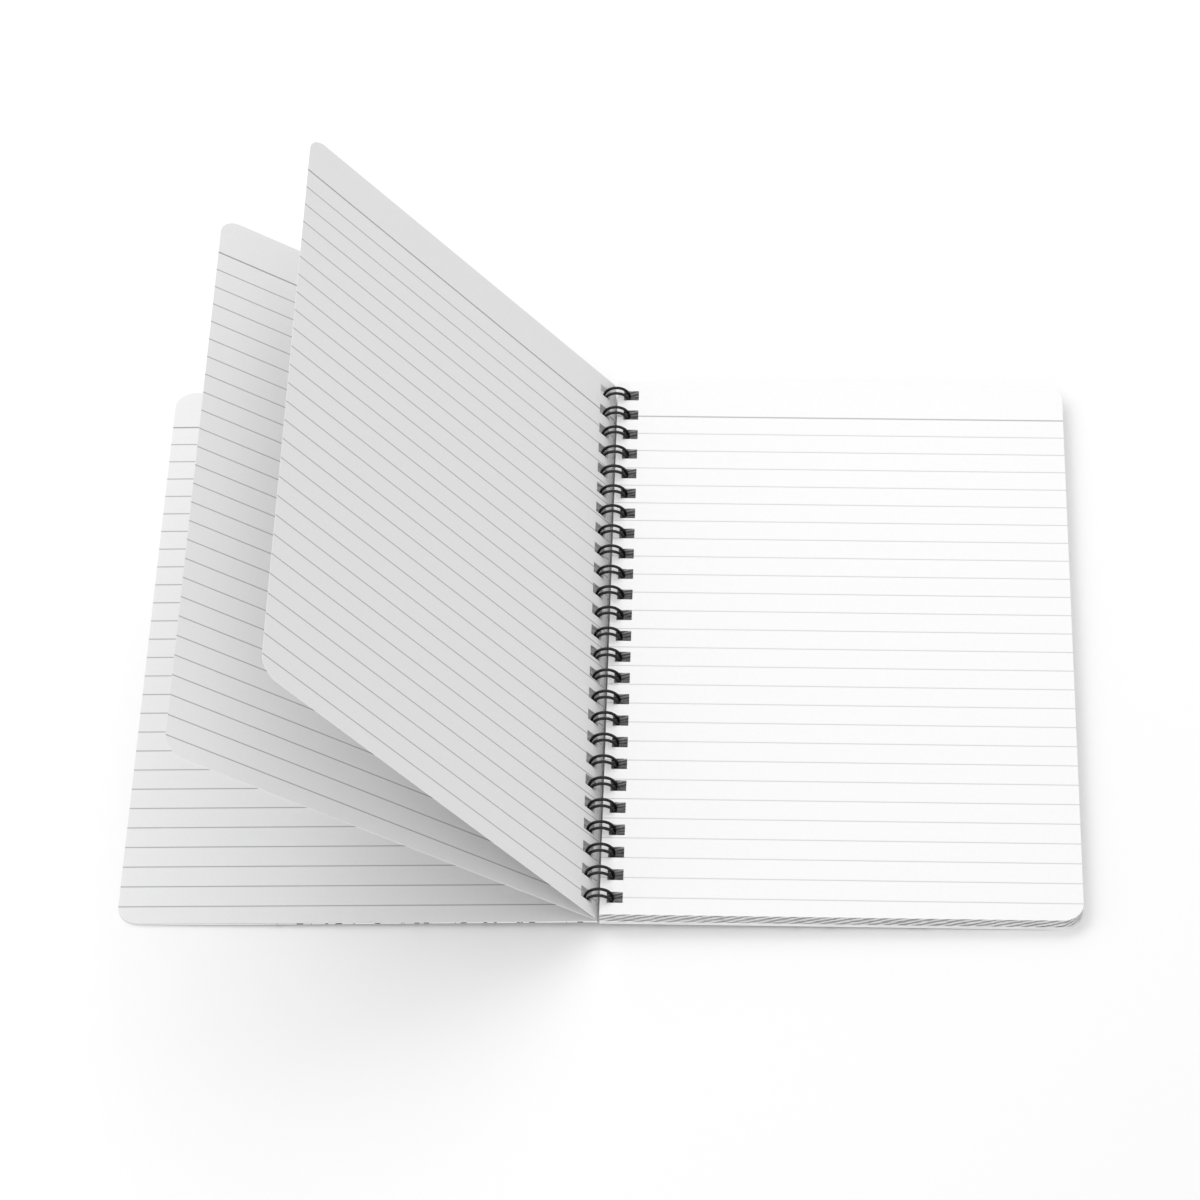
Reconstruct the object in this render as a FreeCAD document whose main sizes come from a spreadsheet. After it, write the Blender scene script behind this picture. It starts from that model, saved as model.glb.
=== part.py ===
import FreeCAD, Part
import Sketcher
import math
import os

# Open twin-loop notebook. X points towards the page block, Y runs along the wire towards the
# pages' top edge and Z points up. The wire's axis stands above the origin at the loop's outer
# radius, so the loops and the two outer long edges rest on one surface.
# A sheet is drawn flat, as it lies in the closed notebook, and turned open about the wire's axis.
# Its height is the distance from that axis to the face that looks down in the closed notebook,
# so the loops pass through its holes at any opening angle.
SIZES = [
    ("page_width", 139.7, "sheet, inner edge to outer edge"),
    ("page_length", 215.9, "sheet, bottom edge to top edge"),
    ("corner_radius", 6.35, "outer corners"),
    ("inner_gap", 0.35, "wire axis to a sheet's inner edge"),
    ("hole_start", 2.35, "wire axis to the near side of the holes"),
    ("hole_width", 4.65, "hole across the spine"),
    ("hole_length", 4.05, "hole along the spine"),
    ("loop_pitch", 8.467, "three loops in an inch"),
    ("loop_radius", 4.05, "wire's centre line"),
    ("wire_radius", 0.45, "coated wire"),
    ("loop_half_gap", 1.2, "half the distance between a loop's two wires"),
    ("bend_radius", 0.8, "bend from a loop into the straight wire between loops"),
    ("loop_start_angle", -66.8, "where a loop leaves its bend"),
    ("loop_end_angle", 236.5, "where a loop turns back at its tip"),
    ("axis_height", 4.5, "wire axis above the table"),
    ("back_cover_height", -2.44, "back cover's underside from the wire axis"),
    ("back_cover_thickness", 0.44, "board"),
    ("page_block_height", -1.98, "block's underside from the wire axis"),
    ("page_block_thickness", 3.8, "about forty sheets"),
    ("high_leaf_height", 0.55, "right-hand face from the wire axis"),
    ("low_leaf_height", 1.0, "right-hand face from the wire axis"),
    ("flat_leaf_height", 1.4, "upper face below the wire axis"),
    ("leaf_thickness", 0.1, "one sheet of paper"),
    ("front_cover_height", 1.53, "upper face below the wire axis"),
    ("front_cover_thickness", 0.32, "card"),
    ("right_angle", -0.84, "block and back cover, leaning on their outer edge"),
    ("high_leaf_angle", 129.6, "opening angle"),
    ("low_leaf_angle", 148.1, "opening angle"),
    ("flat_leaf_angle", 180.95, "opening angle"),
    ("front_cover_angle", 181.08, "opening angle, leaning on its outer edge"),
]

# As many double loops, and holes in each sheet, as fit the page's length.
LOOP_COUNT = "floor(Sizes.page_length / Sizes.loop_pitch)"
TOLERANCE = 1e-6

os.makedirs("parts", exist_ok=True)
doc = FreeCAD.newDocument("notebook")
sizes = doc.addObject("Spreadsheet::Sheet", "Sizes")
for row, (alias, value, meaning) in enumerate(SIZES, start=1):
    sizes.set(f"A{row}", alias.replace("_", " "))
    sizes.set(f"B{row}", str(value))
    sizes.set(f"C{row}", meaning)
    sizes.setAlias(f"B{row}", alias)
doc.recompute()


def size(alias):
    """The spreadsheet's value for an alias."""
    return float(sizes.get(alias))


def loop_count():
    """How many double loops the wire has, as LOOP_COUNT gives it."""
    return math.floor(size("page_length") / size("loop_pitch"))


def rectangle(sketch, left, bottom, width, length):
    """Draw a rectangle whose corner and sides follow the spreadsheet.

    left and bottom are expressions for the lower left corner, measured from the origin.
    """
    vector = FreeCAD.Vector
    sides = sketch.addGeometry([
        Part.LineSegment(vector(1, -1, 0), vector(2, -1, 0)),
        Part.LineSegment(vector(2, -1, 0), vector(2, 1, 0)),
        Part.LineSegment(vector(2, 1, 0), vector(1, 1, 0)),
        Part.LineSegment(vector(1, 1, 0), vector(1, -1, 0)),
    ], False)
    for first, second in zip(sides, sides[1:] + sides[:1]):
        sketch.addConstraint(Sketcher.Constraint("Coincident", first, 2, second, 1))
    for side in (sides[0], sides[2]):
        sketch.addConstraint(Sketcher.Constraint("Horizontal", side))
    for side in (sides[1], sides[3]):
        sketch.addConstraint(Sketcher.Constraint("Vertical", side))
    driving = [
        ("DistanceX", (-1, 1, sides[0], 1), 1, left),
        ("DistanceY", (sides[0], 1, -1, 1), 1, bottom),
        ("DistanceX", (sides[0], 1, sides[0], 2), 1, width),
        ("DistanceY", (sides[1], 1, sides[1], 2), 2, length),
    ]
    for kind, points, start, expression in driving:
        index = sketch.addConstraint(Sketcher.Constraint(kind, *points, start))
        sketch.setExpression(f"Constraints[{index}]", expression)


def flat_sketch(body, name):
    """A sketch on the body's own XY plane."""
    sketch = body.newObject("Sketcher::SketchObject", name)
    sketch.AttachmentSupport = [(body.Origin.OriginFeatures[3], "")]
    sketch.MapMode = "FlatFace"
    return sketch


def sheet(node, thickness, height, angle):
    """A punched sheet with rounded outer corners, turned open about the wire's axis.

    thickness, height and angle are the aliases that hold its sizes. height is the distance from
    the wire's axis to the drawn sheet's underside, and angle is its opening angle.
    """
    body = doc.addObject("PartDesign::Body", node)
    body.Label = node
    outline = flat_sketch(body, node + "_outline")
    rectangle(outline, "Sizes.inner_gap * 1 mm", "Sizes.page_length / 2 * 1 mm",
              "Sizes.page_width * 1 mm", "Sizes.page_length * 1 mm")
    pad = body.newObject("PartDesign::Pad", node + "_pad")
    pad.Profile = outline
    pad.setExpression("Length", f"Sizes.{thickness} * 1 mm")
    doc.recompute()

    outer = size("inner_gap") + size("page_width")
    corners = [
        f"Edge{number}" for number, edge in enumerate(pad.Shape.Edges, start=1)
        if all(abs(vertex.X - outer) < TOLERANCE for vertex in edge.Vertexes)
        and abs(edge.Length - size(thickness)) < TOLERANCE
    ]
    rounding = body.newObject("PartDesign::Fillet", node + "_corners")
    rounding.Base = (pad, corners)
    rounding.setExpression("Radius", "Sizes.corner_radius * 1 mm")

    hole = flat_sketch(body, node + "_hole")
    rectangle(hole, "Sizes.hole_start * 1 mm",
              f"(Sizes.loop_pitch * ({LOOP_COUNT} - 1) + Sizes.hole_length) / 2 * 1 mm",
              "Sizes.hole_width * 1 mm", "Sizes.hole_length * 1 mm")
    pocket = body.newObject("PartDesign::Pocket", node + "_first_hole")
    pocket.Profile = hole
    pocket.Type = "ThroughAll"
    pocket.Reversed = True
    holes = body.newObject("PartDesign::LinearPattern", node + "_holes")
    holes.Originals = [pocket]
    holes.Direction = (body.Origin.OriginFeatures[1], [""])
    holes.setExpression("Length", f"Sizes.loop_pitch * ({LOOP_COUNT} - 1) * 1 mm")
    holes.setExpression("Occurrences", LOOP_COUNT)
    body.Tip = holes

    turn = FreeCAD.Rotation(FreeCAD.Vector(0, -1, 0), size(angle))
    body.Placement = FreeCAD.Placement(FreeCAD.Vector(0, 0, size("axis_height")), turn)
    degrees = f"Sizes.{angle} * 1 deg"
    body.setExpression("Placement.Rotation.Angle", degrees)
    body.setExpression("Placement.Base.x", f"-Sizes.{height} * sin({degrees}) * 1 mm")
    body.setExpression("Placement.Base.z",
                       f"(Sizes.axis_height + Sizes.{height} * cos({degrees})) * 1 mm")
    doc.recompute()

    one_hole = size("hole_width") * size("hole_length") * size(thickness)
    removed = rounding.Shape.Volume - holes.Shape.Volume
    assert abs(removed - loop_count() * one_hole) < TOLERANCE * holes.Shape.Volume, node
    return body


def loop_frame(angle):
    """The point on the loop at an angle, and the direction of travel there."""
    turn = math.radians(angle)
    point = FreeCAD.Vector(math.cos(turn), 0, math.sin(turn)) * size("loop_radius")
    travel = FreeCAD.Vector(-math.sin(turn), 0, math.cos(turn))
    return point, travel


def arc(centre, start, middle, end):
    """An arc through three points given from its centre."""
    return Part.Arc(centre + start, centre + middle, centre + end).toShape()


def loop_path():
    """The centre line of one double loop, with half of the straight wire on each side."""
    along = FreeCAD.Vector(0, 1, 0)
    gap = along * size("loop_half_gap")
    bend = size("bend_radius")
    half_pitch = along * (size("loop_pitch") / 2)
    start, leaving = loop_frame(size("loop_start_angle"))
    end, arriving = loop_frame(size("loop_end_angle"))
    halfway, _ = loop_frame((size("loop_start_angle") + size("loop_end_angle")) / 2)
    side = bend * math.sqrt(0.5)

    before = start - gap - along * bend
    after = start + gap + along * bend
    straight = start - leaving * bend
    return Part.Wire([
        Part.makeLine(straight - half_pitch, before - leaving * bend),
        arc(before, -leaving * bend, (along - leaving) * side, along * bend),
        Part.Arc(start - gap, halfway - gap, end - gap).toShape(),
        arc(end, -gap, arriving * size("loop_half_gap"), gap),
        Part.Arc(end + gap, halfway + gap, start + gap).toShape(),
        arc(after, -along * bend, (-along - leaving) * side, -leaving * bend),
        Part.makeLine(after - leaving * bend, straight + half_pitch),
    ])


def wire_shape():
    """The whole wire: the double loop swept once, repeated along the spine and joined."""
    path = loop_path()
    first = path.Edges[0]
    section = Part.Wire(Part.makeCircle(size("wire_radius"), first.valueAt(first.FirstParameter),
                                        FreeCAD.Vector(0, 1, 0)))
    loop = path.makePipeShell([section], True, False)
    count = loop_count()
    pitch = size("loop_pitch")
    loops = []
    for index in range(count):
        copy = loop.copy()
        copy.translate(FreeCAD.Vector(0, (index - (count - 1) / 2) * pitch, 0))
        loops.append(copy)
    joined = loops[0].multiFuse(loops[1:]).removeSplitter()
    assert len(joined.Solids) == 1
    return joined.Solids[0]


nodes = [
    sheet("page_block", "page_block_thickness", "page_block_height", "right_angle"),
    sheet("back_cover", "back_cover_thickness", "back_cover_height", "right_angle"),
    sheet("front_cover", "front_cover_thickness", "front_cover_height", "front_cover_angle"),
    sheet("flat_leaf", "leaf_thickness", "flat_leaf_height", "flat_leaf_angle"),
    sheet("low_leaf", "leaf_thickness", "low_leaf_height", "low_leaf_angle"),
    sheet("high_leaf", "leaf_thickness", "high_leaf_height", "high_leaf_angle"),
]

# The wire bends out of every plane, so its centre line is drawn from the sheet's values in code.
wire = doc.addObject("Part::Feature", "wire_binding")
wire.Label = "wire_binding"
wire.Shape = wire_shape()
wire.Placement = FreeCAD.Placement(FreeCAD.Vector(0, 0, size("axis_height")), FreeCAD.Rotation())
nodes.append(wire)
doc.recompute()

for item in doc.Objects:
    assert not {"Invalid", "Error"} & set(item.State), (item.Name, item.State)
for node in nodes:
    shape = node.Shape
    assert not shape.isNull() and shape.isValid(), node.Label
    assert len(shape.Solids) == 1 and shape.Solids[0].isClosed(), node.Label
    shape.exportStep(f"parts/{node.Label}.step")
    box = shape.BoundBox
    print(f"{node.Label}: volume {shape.Volume:.1f}, X {box.XMin:.2f} to {box.XMax:.2f}, "
          f"Y {box.YMin:.2f} to {box.YMax:.2f}, Z {box.ZMin:.3f} to {box.ZMax:.3f}")
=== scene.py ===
"""Looks of an open twin-loop notebook: loose page stack, raised leaves, card covers and coated wire."""

import logging
import math
from dataclasses import dataclass
from enum import Enum

import bpy
import numpy as np
from mathutils import Matrix, Vector


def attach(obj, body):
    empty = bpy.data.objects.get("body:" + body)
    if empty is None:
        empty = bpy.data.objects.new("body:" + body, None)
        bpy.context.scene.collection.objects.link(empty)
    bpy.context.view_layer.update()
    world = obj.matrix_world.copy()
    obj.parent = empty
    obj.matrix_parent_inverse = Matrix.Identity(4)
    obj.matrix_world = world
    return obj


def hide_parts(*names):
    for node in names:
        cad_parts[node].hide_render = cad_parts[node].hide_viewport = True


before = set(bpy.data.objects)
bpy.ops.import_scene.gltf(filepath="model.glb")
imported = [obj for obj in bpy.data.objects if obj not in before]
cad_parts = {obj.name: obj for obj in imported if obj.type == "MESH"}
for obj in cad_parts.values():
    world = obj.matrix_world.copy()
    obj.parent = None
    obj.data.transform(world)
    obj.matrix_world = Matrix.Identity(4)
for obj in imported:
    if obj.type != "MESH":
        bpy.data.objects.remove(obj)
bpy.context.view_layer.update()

MM = 0.001
# Height of the wire's axis above the table, in millimetres.
AXIS_HEIGHT = 4.5
# Opening angle of the block and the back cover, which lean on their outer edge, in degrees.
BLOCK_LEAN = -0.84
log = logging.getLogger("notebook")


class Facing(Enum):
    """Which material slot a sheet's face takes; a foot is the side of one of the lowest sheets."""

    UPPER = 0
    WALL = 1
    LOWER = 2
    FOOT = 3


@dataclass(frozen=True)
class Cut:
    """Outline and holes that every sheet of the notebook shares, in millimetres."""

    width: float = 139.7
    length: float = 215.9
    corner: float = 6.35
    inner_gap: float = 0.35
    hole_start: float = 2.35
    hole_width: float = 4.65
    hole_length: float = 4.05
    pitch: float = 8.467
    holes: int = 25
    corner_steps: int = 10
    columns: int = 8

    def hole_centres(self) -> np.ndarray:
        """Return the holes' places along the spine."""
        return (np.arange(self.holes) - (self.holes - 1) / 2) * self.pitch

    def rows(self) -> np.ndarray:
        """Return the grid's places along the spine.

        The rows stand at both ends of every hole, and follow each rounded corner by equal angles.

        Returns:
            The places in rising order, in millimetres.
        """
        sides = self.hole_centres()[:, None] + np.array([-0.5, 0.5]) * self.hole_length
        turn = np.linspace(0.0, math.pi / 2, self.corner_steps)
        curve = self.length / 2 - self.corner * (1.0 - np.sin(turn))
        return np.unique(np.round(np.concatenate([sides.ravel(), curve, -curve]), 5))

    def outer_edge(self, along: np.ndarray) -> np.ndarray:
        """Return the outer edge's distance from the wire's axis.

        The edge is straight, and within a corner it draws in as a circle does.

        Args:
            along: places along the spine.

        Returns:
            One distance for each place.
        """
        past = np.clip(np.abs(along) - (self.length / 2 - self.corner), 0.0, self.corner)
        rounding = self.corner - np.sqrt(np.maximum(self.corner**2 - past**2, 0.0))
        return self.inner_gap + self.width - rounding

    def grid(self) -> tuple[np.ndarray, np.ndarray, np.ndarray]:
        """Lay the sheet out as a grid with its holes left open.

        Returns:
            Distance from the wire's axis, place along the spine, and which cells hold paper.
        """
        rows = self.rows()
        near = np.array([self.inner_gap, self.hole_start, self.hole_start + self.hole_width])
        share = np.linspace(0.0, 1.0, self.columns + 1)[1:]
        outer = self.outer_edge(rows)[:, None]
        across = np.hstack([np.tile(near, (rows.size, 1)), near[2] + (outer - near[2]) * share])
        along = np.tile(rows[:, None], (1, across.shape[1]))
        middle = (rows[1:] + rows[:-1]) / 2
        nearest = np.abs(middle[:, None] - self.hole_centres()).min(axis=1)
        paper = np.ones((rows.size - 1, across.shape[1] - 1), bool)
        paper[nearest < self.hole_length / 2, 1] = False
        return across, along, paper


@dataclass(frozen=True)
class Opening:
    """Where a sheet stands: its height from the wire's axis in mm and its opening angle in degrees."""

    height: float
    angle: float

    def placed(self, points: np.ndarray) -> np.ndarray:
        """Turn flat points about the wire's axis.

        A point at distance x and height z from the axis goes to x times the sheet's own
        direction plus z times the sheet's upright, both turned by the opening angle.

        Args:
            points: distance, place along the spine and height above the sheet's underside, in mm.

        Returns:
            The points in the row frame, in metres.
        """
        turn = math.radians(self.angle)
        cosine, sine = math.cos(turn), math.sin(turn)
        across, along, up = points[:, 0], points[:, 1], points[:, 2] + self.height
        x = across * cosine - up * sine
        z = AXIS_HEIGHT + across * sine + up * cosine
        return np.stack([x, along, z], axis=1) * MM


def sheet_faces(paper: np.ndarray) -> tuple[np.ndarray, np.ndarray]:
    """Return the faces of a thin closed slab over the cells that hold paper.

    Each cell gives an upper and a lower face, and each side of a cell with no neighbour a wall.

    Args:
        paper: which grid cells hold paper.

    Returns:
        The faces' corners, and each face's material slot.
    """
    rows, columns = paper.shape[0] + 1, paper.shape[1] + 1
    upper = np.arange(rows * columns).reshape(rows, columns)
    lower = upper + rows * columns

    def corners(layer: np.ndarray) -> list[np.ndarray]:
        """Return a layer's four corner numbers for every cell, counterclockwise from above."""
        return [layer[:-1, :-1], layer[:-1, 1:], layer[1:, 1:], layer[1:, :-1]]

    high, low = corners(upper), corners(lower)
    padded = np.pad(paper, 1)
    beyond = [padded[:-2, 1:-1], padded[1:-1, 2:], padded[2:, 1:-1], padded[1:-1, :-2]]
    faces = [np.stack([c[paper] for c in high], 1), np.stack([c[paper] for c in low[::-1]], 1)]
    slots = [np.full(len(faces[0]), Facing.UPPER.value), np.full(len(faces[1]), Facing.LOWER.value)]
    for side, neighbour in enumerate(beyond):
        bare = paper & ~neighbour
        start, end = side, (side + 1) % 4
        faces.append(np.stack([low[start][bare], low[end][bare], high[end][bare],
                               high[start][bare]], 1))
        slots.append(np.full(int(bare.sum()), Facing.WALL.value))
    return np.concatenate(faces), np.concatenate(slots)


def new_piece(name: str, points: np.ndarray, faces: np.ndarray, slots: np.ndarray,
              finishes: list[bpy.types.Material], smooth: bool = False) -> bpy.types.Object:
    """Make an object of quads.

    Args:
        name: the piece's name.
        points: vertices in metres, in the row frame.
        faces: corner numbers, four to a face.
        slots: each face's material slot.
        finishes: the materials, in slot order.
        smooth: whether the faces are shaded smooth.

    Returns:
        The new object, linked to the scene.
    """
    mesh = bpy.data.meshes.new(name)
    mesh.from_pydata(points, [], faces.tolist())
    for finish in finishes:
        mesh.materials.append(finish)
    mesh.polygons.foreach_set("material_index", slots.astype(np.int32))
    mesh.polygons.foreach_set("use_smooth", np.full(len(faces), smooth))
    mesh.update()
    piece = bpy.data.objects.new(name, mesh)
    bpy.context.scene.collection.objects.link(piece)
    return piece


class Shader:
    """Builds one material's nodes with short calls."""

    # A noise seldom leaves these values.
    NOISE_LOW = 0.3
    NOISE_HIGH = 0.7
    # The Mix node's colour sockets share names with its number sockets, so they go by number.
    FIRST_COLOUR = 6
    SECOND_COLOUR = 7
    MIXED_COLOUR = 2

    def __init__(self, name: str) -> None:
        """Start a material whose surface is a Principled shader.

        Args:
            name: the material's name.
        """
        self.material = bpy.data.materials.new(name)
        self.material.use_nodes = True
        self.nodes = self.material.node_tree.nodes
        self.links = self.material.node_tree.links
        self.surface = next(n for n in self.nodes if n.type == "BSDF_PRINCIPLED")
        self.place = self.nodes.new("ShaderNodeTexCoord").outputs["Object"]

    def feed(self, socket: bpy.types.NodeSocket, value: object) -> None:
        """Link a socket to an output, or set it to a plain value.

        Args:
            socket: the input to fill.
            value: another node's output, a number or a colour.
        """
        if isinstance(value, bpy.types.NodeSocket):
            self.links.new(value, socket)
        else:
            socket.default_value = value

    def math(self, operation: str, *values: object) -> bpy.types.NodeSocket:
        """Take one arithmetic step on sockets or numbers.

        Args:
            operation: name of the step, such as ADD.
            values: its operands in order.

        Returns:
            The result.
        """
        node = self.nodes.new("ShaderNodeMath")
        node.operation = operation
        for socket, value in zip(node.inputs, values):
            self.feed(socket, value)
        return node.outputs[0]

    def axis(self, letter: str) -> bpy.types.NodeSocket:
        """Pick one Object coordinate.

        Args:
            letter: X, Y or Z.

        Returns:
            The coordinate in metres.
        """
        node = self.nodes.new("ShaderNodeSeparateXYZ")
        self.links.new(self.place, node.inputs[0])
        return node.outputs[letter]

    def scaled(self, x: float, y: float, z: float, turn: float = 0.0) -> bpy.types.NodeSocket:
        """Turn the Object coordinates about Z and scale them.

        Args:
            x: factor along X.
            y: factor along Y.
            z: factor along Z.
            turn: the angle in radians.

        Returns:
            The new coordinates.
        """
        node = self.nodes.new("ShaderNodeMapping")
        node.inputs["Scale"].default_value = (x, y, z)
        node.inputs["Rotation"].default_value = (0.0, 0.0, turn)
        self.links.new(self.place, node.inputs["Vector"])
        return node.outputs[0]

    def noise(self, place: bpy.types.NodeSocket, scale: float,
              detail: float = 3.0) -> bpy.types.NodeSocket:
        """Make a soft noise between 0 and 1.

        Args:
            place: coordinates that the noise is read at.
            scale: bumps in one unit of those coordinates.
            detail: number of finer layers.

        Returns:
            The noise.
        """
        node = self.nodes.new("ShaderNodeTexNoise")
        node.inputs["Scale"].default_value = scale
        node.inputs["Detail"].default_value = detail
        self.links.new(place, node.inputs["Vector"])
        return node.outputs[0]

    def fade(self, value: bpy.types.NodeSocket, low: float, high: float) -> bpy.types.NodeSocket:
        """Go from 0, at low and below it, to 1, at high and above it, by a smooth step.

        Args:
            value: what is compared.
            low: where the step begins.
            high: where it is over.

        Returns:
            The result.
        """
        node = self.nodes.new("ShaderNodeMapRange")
        node.interpolation_type = "SMOOTHSTEP"
        node.inputs["From Min"].default_value = low
        node.inputs["From Max"].default_value = high
        self.links.new(value, node.inputs["Value"])
        return node.outputs["Result"]

    def mix(self, share: bpy.types.NodeSocket, first: object, second: object) -> bpy.types.NodeSocket:
        """Mix two colours.

        Args:
            share: 0 for the first colour and 1 for the second.
            first: a colour or a socket.
            second: a colour or a socket.

        Returns:
            The mixed colour.
        """
        node = self.nodes.new("ShaderNodeMix")
        node.data_type = "RGBA"
        self.feed(node.inputs[0], share)
        self.feed(node.inputs[self.FIRST_COLOUR], first)
        self.feed(node.inputs[self.SECOND_COLOUR], second)
        return node.outputs[self.MIXED_COLOUR]

    def mottled(self, noise: bpy.types.NodeSocket, tone: float, depth: float) -> bpy.types.NodeSocket:
        """Darken a grey a little where a noise is low.

        Args:
            noise: the pattern.
            tone: the grey where the noise is high.
            depth: how much darker it is where the noise is low.

        Returns:
            The mottled colour.
        """
        share = self.fade(noise, self.NOISE_LOW, self.NOISE_HIGH)
        return self.mix(share, grey(tone - depth), grey(tone))

    def bump(self, height: bpy.types.NodeSocket, strength: float, depth: float) -> None:
        """Raise the surface by a height pattern.

        Args:
            height: the pattern, 0 to 1.
            strength: how much of the relief shows, 0 to 1.
            depth: height of the relief in millimetres.
        """
        node = self.nodes.new("ShaderNodeBump")
        node.inputs["Strength"].default_value = strength
        node.inputs["Distance"].default_value = depth * MM
        self.links.new(height, node.inputs["Height"])
        self.links.new(node.outputs[0], self.surface.inputs["Normal"])

    def finish(self, colour: object, roughness: float, specular: float) -> bpy.types.Material:
        """Set the surface's colour and gloss.

        Args:
            colour: a colour or a socket.
            roughness: 0 for a mirror and 1 for matt.
            specular: strength of the gloss.

        Returns:
            The finished material.
        """
        self.feed(self.surface.inputs["Base Color"], colour)
        self.surface.inputs["Roughness"].default_value = roughness
        self.surface.inputs["Specular IOR Level"].default_value = specular
        return self.material


def grey(value: float) -> tuple[float, float, float, float]:
    """Return a neutral colour."""
    return (value, value, value, 1.0)


@dataclass(frozen=True)
class RuledPaper:
    """Uncoated paper ruled across, with a stronger line under the heading.

    Lengths are in millimetres, angles in radians and scales in bumps per metre.
    """

    name: str
    tone: float = 0.86
    line_tone: float = 0.4
    header_tone: float = 0.3
    line_width: float = 0.42
    header_width: float = 0.55
    first_line: float = 92.65
    spacing: float = 7.4723
    lines: int = 27
    mottle_scale: float = 900.0
    mottle_depth: float = 0.012
    fibre_scale: float = 2600.0
    fibre_stretch: float = 0.45
    fibre_turn: float = 0.5
    fibre_height: float = 0.04
    fibre_strength: float = 0.35
    roughness: float = 0.85
    specular: float = 0.2

    def make(self) -> bpy.types.Material:
        """Build the paper.

        A place's row is its distance below the first line in line spacings. It is inked where
        the row is near a whole number from 0 to the last line.

        Returns:
            The material.
        """
        shader = Shader(self.name)
        below = shader.math("SUBTRACT", self.first_line * MM, shader.axis("Y"))
        row = shader.math("DIVIDE", below, self.spacing * MM)
        off = shader.math("ABSOLUTE", shader.math("SUBTRACT", row, shader.math("ROUND", row)))
        header = shader.math("LESS_THAN", row, 0.5)
        width = shader.math("ADD", self.line_width / self.spacing / 2,
                            shader.math("MULTIPLY", header,
                                        (self.header_width - self.line_width) / self.spacing / 2))
        inked = shader.math("LESS_THAN", off, width)
        inside = shader.math("MULTIPLY", shader.math("GREATER_THAN", row, -0.5),
                             shader.math("LESS_THAN", row, self.lines - 0.5))
        ink = shader.math("MULTIPLY", inked, inside)
        mottle = shader.noise(shader.place, self.mottle_scale, detail=4.0)
        paper = shader.mottled(mottle, self.tone, self.mottle_depth)
        line = shader.mix(header, grey(self.line_tone), grey(self.header_tone))
        stretched = shader.scaled(1.0, self.fibre_stretch, 1.0, self.fibre_turn)
        fibre = shader.noise(stretched, self.fibre_scale, detail=5.0)
        shader.bump(fibre, self.fibre_strength, self.fibre_height)
        return shader.finish(shader.mix(ink, paper, line), self.roughness, self.specular)


@dataclass(frozen=True)
class CutEdge:
    """The cut side of stacked paper, with slanted light and dark streaks; the dark ones are painted
    shade between the uneven sheets.

    Spacing, sway and ripple are in millimetres, and the two scales of the breaks per metre.
    """

    name: str
    light: float = 0.74
    # Tone of the painted shade between sheets.
    dark: float = 0.17
    slope: float = 0.3
    spacing: float = 1.4
    sway: float = 0.9
    ripple: float = 5.0
    breaks: float = 2.8
    breaks_along: float = 300.0
    breaks_up: float = 2200.0
    dark_below: float = -0.6
    light_above: float = 0.7
    roughness: float = 0.9
    specular: float = 0.1

    def make(self) -> bpy.types.Material:
        """Build the edge.

        A streak's own height is Z less the slope times the distance along the edge, swayed by a
        slow noise. The streaks are a sine of that height, broken up by a fine noise.

        Returns:
            The material.
        """
        shader = Shader(self.name)
        along = shader.math("ADD", shader.axis("X"), shader.axis("Y"))
        slow = shader.noise(shader.place, 1.0 / (self.ripple * MM), detail=2.0)
        swayed = shader.math("MULTIPLY", shader.math("SUBTRACT", slow, 0.5), self.sway * MM)
        height = shader.math("SUBTRACT", shader.axis("Z"), shader.math("MULTIPLY", along, self.slope))
        turns = shader.math("DIVIDE", shader.math("ADD", height, swayed), self.spacing * MM)
        wave = shader.math("SINE", shader.math("MULTIPLY", turns, 2 * math.pi))
        flattened = shader.scaled(self.breaks_along, self.breaks_along, self.breaks_up)
        fine = shader.noise(flattened, 1.0, detail=2.0)
        broken = shader.math("MULTIPLY", shader.math("SUBTRACT", fine, 0.5), self.breaks)
        streaks = shader.math("ADD", wave, broken)
        # Painted shade: where the streaks are low the edge takes the dark tone.
        share = shader.fade(streaks, self.dark_below, self.light_above)
        colour = shader.mix(share, grey(self.dark), grey(self.light))
        return shader.finish(colour, self.roughness, self.specular)


@dataclass(frozen=True)
class FleckedEdge:
    """The cut edge of printed card, where strokes of the print show as short dark flecks.

    Fleck and reach are in millimetres.
    """

    name: str
    tone: float = 0.96
    ink: float = 0.01
    fleck: float = 2.8
    share: float = 0.54
    reach: float = 100.0
    roughness: float = 0.7
    specular: float = 0.2

    def make(self) -> bpy.types.Material:
        """Build the edge.

        A noise along the edge is inked where it is above the share, within reach of the wire.

        Returns:
            The material.
        """
        shader = Shader(self.name)
        along = shader.math("ADD", shader.axis("X"), shader.axis("Y"))
        combine = shader.nodes.new("ShaderNodeCombineXYZ")
        shader.feed(combine.inputs[0], shader.math("DIVIDE", along, self.fleck * MM))
        pattern = shader.noise(combine.outputs[0], 1.0)
        stroke = shader.math("GREATER_THAN", pattern, self.share)
        near = shader.math("LESS_THAN", shader.math("ABSOLUTE", shader.axis("X")), self.reach * MM)
        inked = shader.math("MULTIPLY", stroke, near)
        colour = shader.mix(inked, grey(self.tone), grey(self.ink))
        return shader.finish(colour, self.roughness, self.specular)


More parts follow.
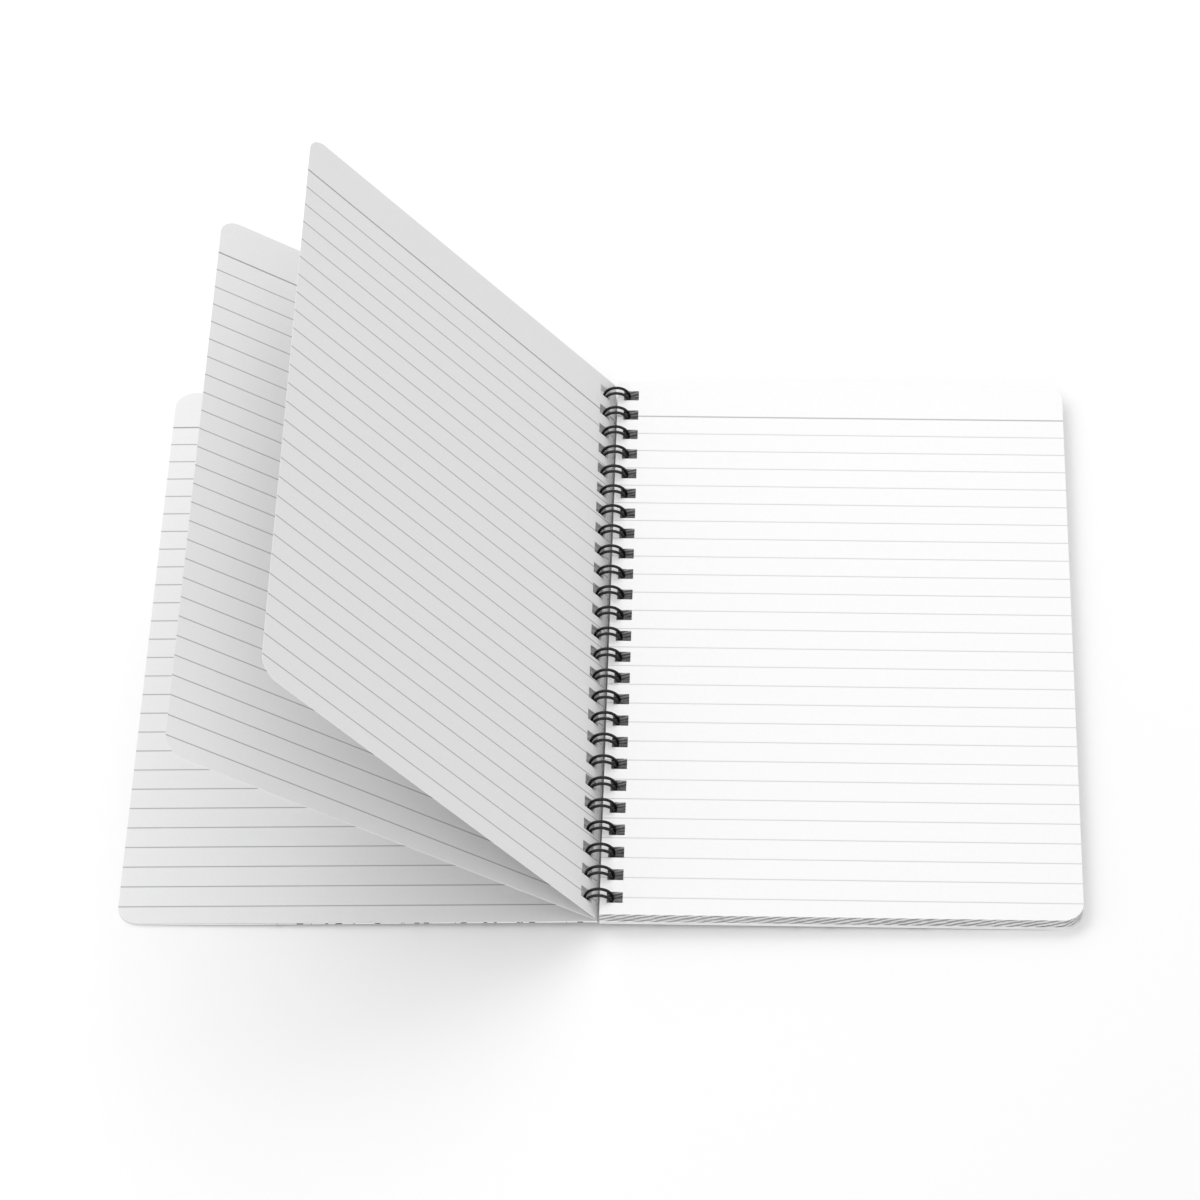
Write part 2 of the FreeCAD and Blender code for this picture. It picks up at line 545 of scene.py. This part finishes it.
@dataclass(frozen=True)
class PrintedCard:
    """White card printed with short scattered strokes, a plain generic pattern.

    Cells and grain are counted per metre; the relief is in millimetres and the turn in radians.
    """

    name: str
    tone: float = 0.85
    ink: float = 0.02
    stroke: float = 0.2
    cells_across: float = 420.0
    cells_along: float = 110.0
    cells_turn: float = 0.6
    grain_scale: float = 1500.0
    grain_depth: float = 0.01
    grain_height: float = 0.02
    grain_strength: float = 0.2
    roughness: float = 0.45
    specular: float = 0.4

    def make(self) -> bpy.types.Material:
        """Build the card.

        Cells of a Voronoi pattern, stretched and turned, are inked near their centres.

        Returns:
            The material.
        """
        shader = Shader(self.name)
        cells = shader.nodes.new("ShaderNodeTexVoronoi")
        cells.inputs["Scale"].default_value = 1.0
        turned = shader.scaled(self.cells_across, self.cells_along, self.cells_across, self.cells_turn)
        shader.links.new(turned, cells.inputs["Vector"])
        inked = shader.math("LESS_THAN", cells.outputs["Distance"], self.stroke)
        grain = shader.noise(shader.place, self.grain_scale)
        card = shader.mottled(grain, self.tone, self.grain_depth)
        shader.bump(grain, self.grain_strength, self.grain_height)
        colour = shader.mix(inked, card, grey(self.ink))
        return shader.finish(colour, self.roughness, self.specular)


@dataclass(frozen=True)
class Card:
    """Plain card or board with a fine mottle; its grain is per metre and its relief in millimetres."""

    name: str
    tone: float = 0.85
    grain_scale: float = 1200.0
    grain_depth: float = 0.02
    grain_height: float = 0.03
    grain_strength: float = 0.25
    roughness: float = 0.6
    specular: float = 0.3

    def make(self) -> bpy.types.Material:
        """Build the card.

        Returns:
            The material.
        """
        shader = Shader(self.name)
        grain = shader.noise(shader.place, self.grain_scale, detail=4.0)
        colour = shader.mottled(grain, self.tone, self.grain_depth)
        shader.bump(grain, self.grain_strength, self.grain_height)
        return shader.finish(colour, self.roughness, self.specular)


@dataclass(frozen=True)
class CoatedWire:
    """Steel wire in a black plastic coat, with a faint drawn grain."""

    name: str = "black_coat"
    tone: float = 0.004
    dullest: float = 0.7
    brightest: float = 1.5
    grain_scale: float = 3000.0
    grain_height: float = 0.02
    grain_strength: float = 0.15
    roughness: float = 0.36
    specular: float = 0.3

    def make(self) -> bpy.types.Material:
        """Build the coat.

        Returns:
            The material.
        """
        shader = Shader(self.name)
        grain = shader.noise(shader.place, self.grain_scale)
        colour = shader.mix(grain, grey(self.tone * self.dullest), grey(self.tone * self.brightest))
        shader.bump(grain, self.grain_strength, self.grain_height)
        return shader.finish(colour, self.roughness, self.specular)


@dataclass
class PageStack:
    """The page block as loose sheets, each a little out of line with its neighbours, in mm."""

    cut: Cut
    opening: Opening = Opening(height=-1.98, angle=BLOCK_LEAN)
    thickness: float = 3.8
    sheets: int = 38
    air: float = 0.014
    stagger: float = 0.22
    shared_stagger: float = 0.4
    still_width: float = 12.0
    still_half_length: float = 104.0
    end_reach: float = 3.9
    wave_side: float = 31.0
    wave_end: float = 23.0
    seed: int = 7
    foot: int = 5
    page: RuledPaper = RuledPaper("block_page", tone=0.94, line_tone=0.68, header_tone=0.5)
    # The edge's dark streaks are painted shade between the sheets.
    edge: CutEdge = CutEdge("block_edge_painted_shade")

    def sheet_points(self) -> tuple[np.ndarray, np.ndarray]:
        """Return the points of every sheet and the cells that hold paper.

        Below the top sheet, an edge draws in by a slow sine along it with its own phase, so the
        stack's sides show single sheets. The draw falls to nothing at the holes.

        Returns:
            Points for each sheet, and the mask of cells.
        """
        random = np.random.default_rng(self.seed)
        across, along, paper = self.cut.grid()
        step = self.thickness / self.sheets
        low = np.arange(self.sheets) * step
        high = low + step - self.air
        high[-1] = self.thickness
        draw = random.uniform(0.0, self.stagger, (4, self.sheets, 1, 1))
        draw[:, -1] = 0.0
        phase = random.uniform(0.0, 2 * math.pi, (2, self.sheets, 1, 1))
        reach = np.clip((across - self.still_width) / (self.cut.width - self.still_width), 0.0, 1.0)
        ends = np.clip((np.abs(along) - self.still_half_length) / self.end_reach, 0.0, 1.0)
        wave_out = 0.5 + 0.5 * np.sin(along / self.wave_side + phase[0])
        wave_end = 0.5 + 0.5 * np.sin(across / self.wave_end + phase[1])
        x = across - reach * (draw[0] * wave_out + draw[1] * self.shared_stagger)
        y = along - np.sign(along) * ends * (draw[2] * wave_end + draw[3] * self.shared_stagger)
        flat = np.ones_like(x)
        upper = np.stack([x, y, flat * high[:, None, None]], axis=-1)
        lower = np.stack([x, y, flat * low[:, None, None]], axis=-1)
        return np.stack([upper, lower], axis=1).reshape(-1, 3), paper

    def build(self) -> bpy.types.Object:
        """Build the stack and let it stand for the solid block.

        Returns:
            The stack.
        """
        points, paper = self.sheet_points()
        size = 2 * (paper.shape[0] + 1) * (paper.shape[1] + 1)
        one, slots = sheet_faces(paper)
        faces = (one[None] + (np.arange(self.sheets) * size)[:, None, None]).reshape(-1, 4)
        slots = np.tile(slots, (self.sheets, 1))
        low_walls = slots[: self.foot] == Facing.WALL.value
        slots[: self.foot][low_walls] = Facing.FOOT.value
        ruled, cut = self.page.make(), self.edge.make()
        bright = Card("block_foot", tone=0.95).make()
        piece = new_piece("page_stack", self.opening.placed(points), faces, slots.ravel(),
                          [ruled, cut, ruled, bright])
        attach(piece, "spine")
        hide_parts("page_block")
        return piece


@dataclass
class SingleSheet:
    """One sheet that turns on the wire: a ruled leaf or a cover."""

    name: str
    node: str
    body: str
    slot: str
    cut: Cut
    opening: Opening
    thickness: float
    finishes: list[bpy.types.Material]

    def build(self) -> bpy.types.Object:
        """Build the sheet as a thin closed slab and let it stand for its CAD node.

        Returns:
            The sheet.
        """
        across, along, paper = self.cut.grid()
        flat = np.ones_like(across)
        upper = np.stack([across, along, flat * self.thickness], axis=-1)
        lower = np.stack([across, along, flat * 0.0], axis=-1)
        points = np.stack([upper, lower]).reshape(-1, 3)
        faces, slots = sheet_faces(paper)
        piece = new_piece(self.name, self.opening.placed(points), faces, slots, self.finishes)
        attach(piece, self.body)
        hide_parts(self.node)
        return piece


@dataclass
class LoopWire:
    """The twin-loop wire as one tube carried along its bent centre line, in mm and degrees."""

    cut: Cut
    loop_radius: float = 4.05
    wire_radius: float = 0.45
    half_gap: float = 1.2
    bend: float = 0.8
    start_angle: float = -66.8
    end_angle: float = 236.5
    around: int = 12
    arc_steps: int = 44
    turn_steps: int = 9
    bend_steps: int = 5
    straight_steps: int = 3
    coat: CoatedWire = CoatedWire()

    def on_loop(self, angle: np.ndarray, side: float) -> np.ndarray:
        """Return points of one wire of a loop: a circle about the Y axis at a fixed Y.

        Args:
            angle: places round the circle, in radians.
            side: the fixed Y.

        Returns:
            The points, in millimetres from the wire's axis.
        """
        return np.stack([np.cos(angle) * self.loop_radius, np.full_like(angle, side),
                         np.sin(angle) * self.loop_radius], axis=1)

    def beside_loop(self, angle: float, ahead: np.ndarray, along: np.ndarray) -> np.ndarray:
        """Return points of the plane that touches the loop at an angle.

        Args:
            angle: where the plane touches, in radians.
            ahead: distances in the loop's direction of travel.
            along: places along the spine.

        Returns:
            The points.
        """
        touch = np.array([math.cos(angle), 0.0, math.sin(angle)]) * self.loop_radius
        travel = np.array([-math.sin(angle), 0.0, math.cos(angle)])
        return touch + ahead[:, None] * travel + along[:, None] * np.array([0.0, 1.0, 0.0])

    def double_loop(self) -> np.ndarray:
        """Return the centre line of one double loop with half a straight wire on each side.

        It runs in along the spine, bends round a quarter circle into the loop, goes round the
        loop, turns back at the tip by a half circle, and leaves as it came.

        Returns:
            The points, in millimetres from the wire's axis.
        """
        start, end = math.radians(self.start_angle), math.radians(self.end_angle)
        quarter = np.linspace(0.0, math.pi / 2, self.bend_steps + 1)
        half = np.linspace(0.0, math.pi, self.turn_steps + 2)[1:-1]
        angles = np.linspace(start, end, self.arc_steps)
        straight = np.linspace(-self.cut.pitch / 2, -self.half_gap - self.bend,
                               self.straight_steps + 1)[:-1]
        lead = self.beside_loop(start, np.full_like(straight, -self.bend), straight)
        corner = self.beside_loop(start, -self.bend * np.cos(quarter),
                                  -self.half_gap - self.bend * (1 - np.sin(quarter)))[:-1]
        up = self.on_loop(angles, -self.half_gap)
        tip = self.beside_loop(end, self.half_gap * np.sin(half), -self.half_gap * np.cos(half))
        first = np.concatenate([lead, corner, up, tip[: (len(tip) + 1) // 2]])
        mirror = first[: len(first) - len(tip) % 2][::-1] * np.array([1.0, -1.0, 1.0])
        return np.concatenate([first, mirror[:-1]])

    def centre_line(self) -> np.ndarray:
        """Repeat the double loop at every hole, and end where the last one's straight wire does.

        Returns:
            The whole wire's centre line, in millimetres from the wire's axis.
        """
        loop = self.double_loop()
        shift = np.zeros((self.cut.holes, 1, 3))
        shift[:, 0, 1] = self.cut.hole_centres()
        line = (loop[None] + shift).reshape(-1, 3)
        last = loop[0] * np.array([1.0, -1.0, 1.0]) + shift[-1]
        return np.concatenate([line, last])

    def tube(self) -> tuple[np.ndarray, np.ndarray]:
        """Carry a circle along the centre line.

        Each ring stands across the line's direction. Its first axis points away from the wire's
        axis, made square to the line, and its second is square to both.

        Returns:
            The tube's points in metres and its quads, closed by a cap at each end.
        """
        line = self.centre_line()
        travel = np.gradient(line, axis=0)
        travel /= np.linalg.norm(travel, axis=1, keepdims=True)
        outward = line * np.array([1.0, 0.0, 1.0])
        outward -= (outward * travel).sum(axis=1, keepdims=True) * travel
        outward /= np.linalg.norm(outward, axis=1, keepdims=True)
        beside = np.cross(travel, outward)
        turn = np.arange(self.around) * 2 * math.pi / self.around
        ring = (outward[:, None] * np.cos(turn)[:, None] + beside[:, None] * np.sin(turn)[:, None])
        points = (line[:, None] + ring * self.wire_radius).reshape(-1, 3)
        number = np.arange(len(points)).reshape(len(line), self.around)
        after = np.roll(number, -1, axis=1)
        sides = np.stack([number[:-1], after[:-1], after[1:], number[1:]], axis=-1).reshape(-1, 4)
        fan = np.arange(0, self.around // 2 - 1)
        strip = np.stack([fan, fan + 1, self.around - 2 - fan, self.around - 1 - fan], axis=1)
        caps = [strip[:, ::-1], strip + number[-1, 0]]
        points[:, 2] += AXIS_HEIGHT
        return points * MM, np.concatenate([sides, *caps])

    def build(self) -> bpy.types.Object:
        """Build the wire and let it stand for its CAD node.

        Returns:
            The wire.
        """
        points, faces = self.tube()
        piece = new_piece("loop_wire", points, faces, np.zeros(len(faces)), [self.coat.make()], True)
        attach(piece, "spine")
        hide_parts("wire_binding")
        return piece


@dataclass
class Notebook:
    """All pieces of the notebook, in the order they are bound."""

    cut: Cut = Cut()
    leaf_thickness: float = 0.1
    front_thickness: float = 0.32
    back_thickness: float = 0.44

    def leaves(self) -> list[SingleSheet]:
        """Make the three ruled leaves that are turned over.

        Returns:
            The flat, the low and the high leaf.
        """
        # The leaves are the block's paper painted darker, tone 0.82 and lines 0.43 against 0.94 and
        # 0.68: painted shade on the turned leaves.
        ruled = RuledPaper("leaf_page_painted_shade", tone=0.82, line_tone=0.43, header_tone=0.35).make()
        edge = Card("leaf_edge", tone=0.9).make()
        places = {
            "flat": Opening(height=1.4, angle=180.95),
            "low": Opening(height=1.0, angle=148.1),
            "high": Opening(height=0.55, angle=129.6),
        }
        return [
            SingleSheet(f"{body}_page", f"{body}_leaf", body, "leaf_paper", self.cut, place,
                        self.leaf_thickness, [ruled, edge, ruled])
            for body, place in places.items()
        ]

    def covers(self) -> list[SingleSheet]:
        """Make the two covers.

        Returns:
            The front cover and the back cover.
        """
        inside = Card("cover_inside", tone=0.85).make()
        outside = PrintedCard("cover_print").make()
        flecked = FleckedEdge("cover_edge").make()
        board = Card("back_board", tone=0.82).make()
        return [
            SingleSheet("front_card", "front_cover", "front", "cover_card", self.cut,
                        Opening(height=1.53, angle=181.08), self.front_thickness,
                        [outside, flecked, inside]),
            SingleSheet("back_card", "back_cover", "back", "back_board", self.cut,
                        Opening(height=-2.44, angle=BLOCK_LEAN), self.back_thickness,
                        [board, board, outside]),
        ]

    def build(self) -> list[bpy.types.Object]:
        """Build every piece and report it.

        Returns:
            The pieces.
        """
        pieces = []
        for part in [PageStack(self.cut), *self.leaves(), *self.covers(), LoopWire(self.cut)]:
            piece = part.build()
            log.info("%s: %d faces", piece.name, len(piece.data.polygons))
            pieces.append(piece)
        return pieces


@dataclass(frozen=True)
class Lamp:
    """A square lamp aimed at the notebook, with its place and side in metres and power in watts."""

    name: str
    place: tuple[float, float, float]
    size: float
    power: float

    def hang(self) -> None:
        """Add the lamp to the scene."""
        light = bpy.data.lights.new(self.name, "AREA")
        light.size = self.size
        light.energy = self.power
        holder = bpy.data.objects.new(self.name, light)
        holder.location = self.place
        holder.rotation_mode = "QUATERNION"
        holder.rotation_quaternion = (-Vector(self.place)).to_track_quat("-Z", "Y")
        bpy.context.scene.collection.objects.link(holder)


@dataclass(frozen=True)
class Studio:
    """Floor, lamps, world and camera, in metres; right, up and back are the camera's axes."""

    floor_size: float = 6.0
    floor_tone: float = 0.97
    world_light: float = 0.64
    lamps: tuple[Lamp, ...] = (
        Lamp("overhead", place=(0.0, 0.0, 1.5), size=2.2, power=3.6),
        Lamp("left_side", place=(-1.0, 0.0, 1.1), size=1.0, power=3.8),
        Lamp("back_left", place=(-1.0, 1.0, 1.4), size=0.8, power=3.6),
        Lamp("back_side", place=(0.0, 1.0, 1.1), size=1.0, power=4.4),
        Lamp("front_low", place=(0.0, -2.0, 0.2), size=0.5, power=10.0),
    )
    focal_pixels: float = 5301.484
    frame_pixels: float = 1200.0
    sensor_width: float = 36.0
    nearest_seen: float = 0.05
    farthest_seen: float = 50.0
    eye: tuple[float, float, float] = (0.05970247, -1.0689462, 1.1977219)
    right: tuple[float, float, float] = (0.99924445, 0.02794747, -0.02700862)
    up: tuple[float, float, float] = (-0.00250245, 0.73974828, 0.67287906)
    back: tuple[float, float, float] = (0.03878485, -0.67230307, 0.7392593)

    def floor(self) -> None:
        """Lay a matt white floor."""
        half = self.floor_size / 2
        points = np.array([[-half, -half, 0], [half, -half, 0], [half, half, 0], [-half, half, 0]])
        shader = Shader("studio_floor")
        white = shader.finish(grey(self.floor_tone), 1.0, 0.0)
        floor = new_piece("studio_floor", points, np.array([[0, 1, 2, 3]]), np.zeros(1), [white])

    def light(self) -> None:
        """Hang the lamps."""
        for lamp in self.lamps:
            lamp.hang()

    def world(self) -> None:
        """Make an even world that cameras, gloss and clear things see at full white."""
        world = bpy.data.worlds.new("studio_world")
        world.use_nodes = True
        nodes, links = world.node_tree.nodes, world.node_tree.links
        backdrop = next(n for n in nodes if n.type == "BACKGROUND")
        backdrop.inputs["Color"].default_value = grey(1.0)
        path = nodes.new("ShaderNodeLightPath")
        seen = path.outputs["Is Camera Ray"]
        for kind in ("Is Glossy Ray", "Is Transmission Ray"):
            either = nodes.new("ShaderNodeMath")
            either.operation = "MAXIMUM"
            links.new(seen, either.inputs[0])
            links.new(path.outputs[kind], either.inputs[1])
            seen = either.outputs[0]
        strength = nodes.new("ShaderNodeMix")
        strength.inputs["A"].default_value = self.world_light
        strength.inputs["B"].default_value = 1.0
        links.new(seen, strength.inputs["Factor"])
        links.new(strength.outputs["Result"], backdrop.inputs["Strength"])
        bpy.context.scene.world = world

    def camera(self) -> None:
        """Stand the camera where the photograph was taken from."""
        lens = bpy.data.cameras.new("view")
        lens.lens = self.focal_pixels / self.frame_pixels * self.sensor_width
        lens.sensor_width = self.sensor_width
        lens.clip_start = self.nearest_seen
        lens.clip_end = self.farthest_seen
        camera = bpy.data.objects.new("view", lens)
        turn = Matrix((self.right, self.up, self.back)).transposed()
        camera.matrix_world = Matrix.Translation(self.eye) @ turn.to_4x4()
        bpy.context.scene.collection.objects.link(camera)
        bpy.context.scene.camera = camera

    def set_up(self) -> None:
        """Build the whole studio."""
        self.floor()
        self.light()
        self.world()
        self.camera()
        bpy.context.scene.view_settings.view_transform = "Standard"


def main() -> None:
    """Build the notebook and the studio round it."""
    logging.basicConfig(level=logging.INFO, format="%(name)s: %(message)s")
    Studio().set_up()
    Notebook().build()


if __name__ == "__main__":
    main()
